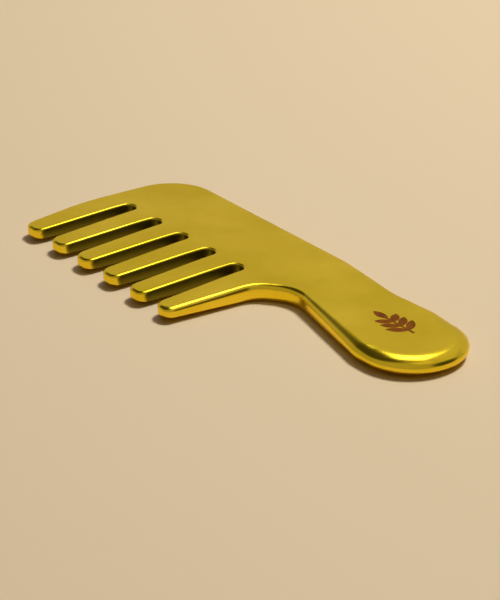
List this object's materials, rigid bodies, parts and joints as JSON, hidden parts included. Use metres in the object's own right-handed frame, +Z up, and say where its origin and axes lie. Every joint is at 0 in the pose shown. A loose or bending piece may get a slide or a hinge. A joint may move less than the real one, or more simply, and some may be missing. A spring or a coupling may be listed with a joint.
{
  "type": "beard comb",
  "caption": "One-piece cast metal beard comb with six broad teeth, a concave finger neck and a round-ended handle carrying an enamelled sprig.",
  "frame": {"origin": "middle of the resting outline, at the height of the table", "axes": "+X along the back from the head to the handle's end, +Y away from the teeth, +Z up through the thickness"},
  "size_m": [0.138, 0.056, 0.005],
  "materials": {
    "brass": "polished",
    "enamel": "fired enamel, rubbed level with the metal"
  },
  "bodies": {
    "root": {"comb_body": "brass", "mark_enamel": "enamel"}
  },
  "joints": []
}
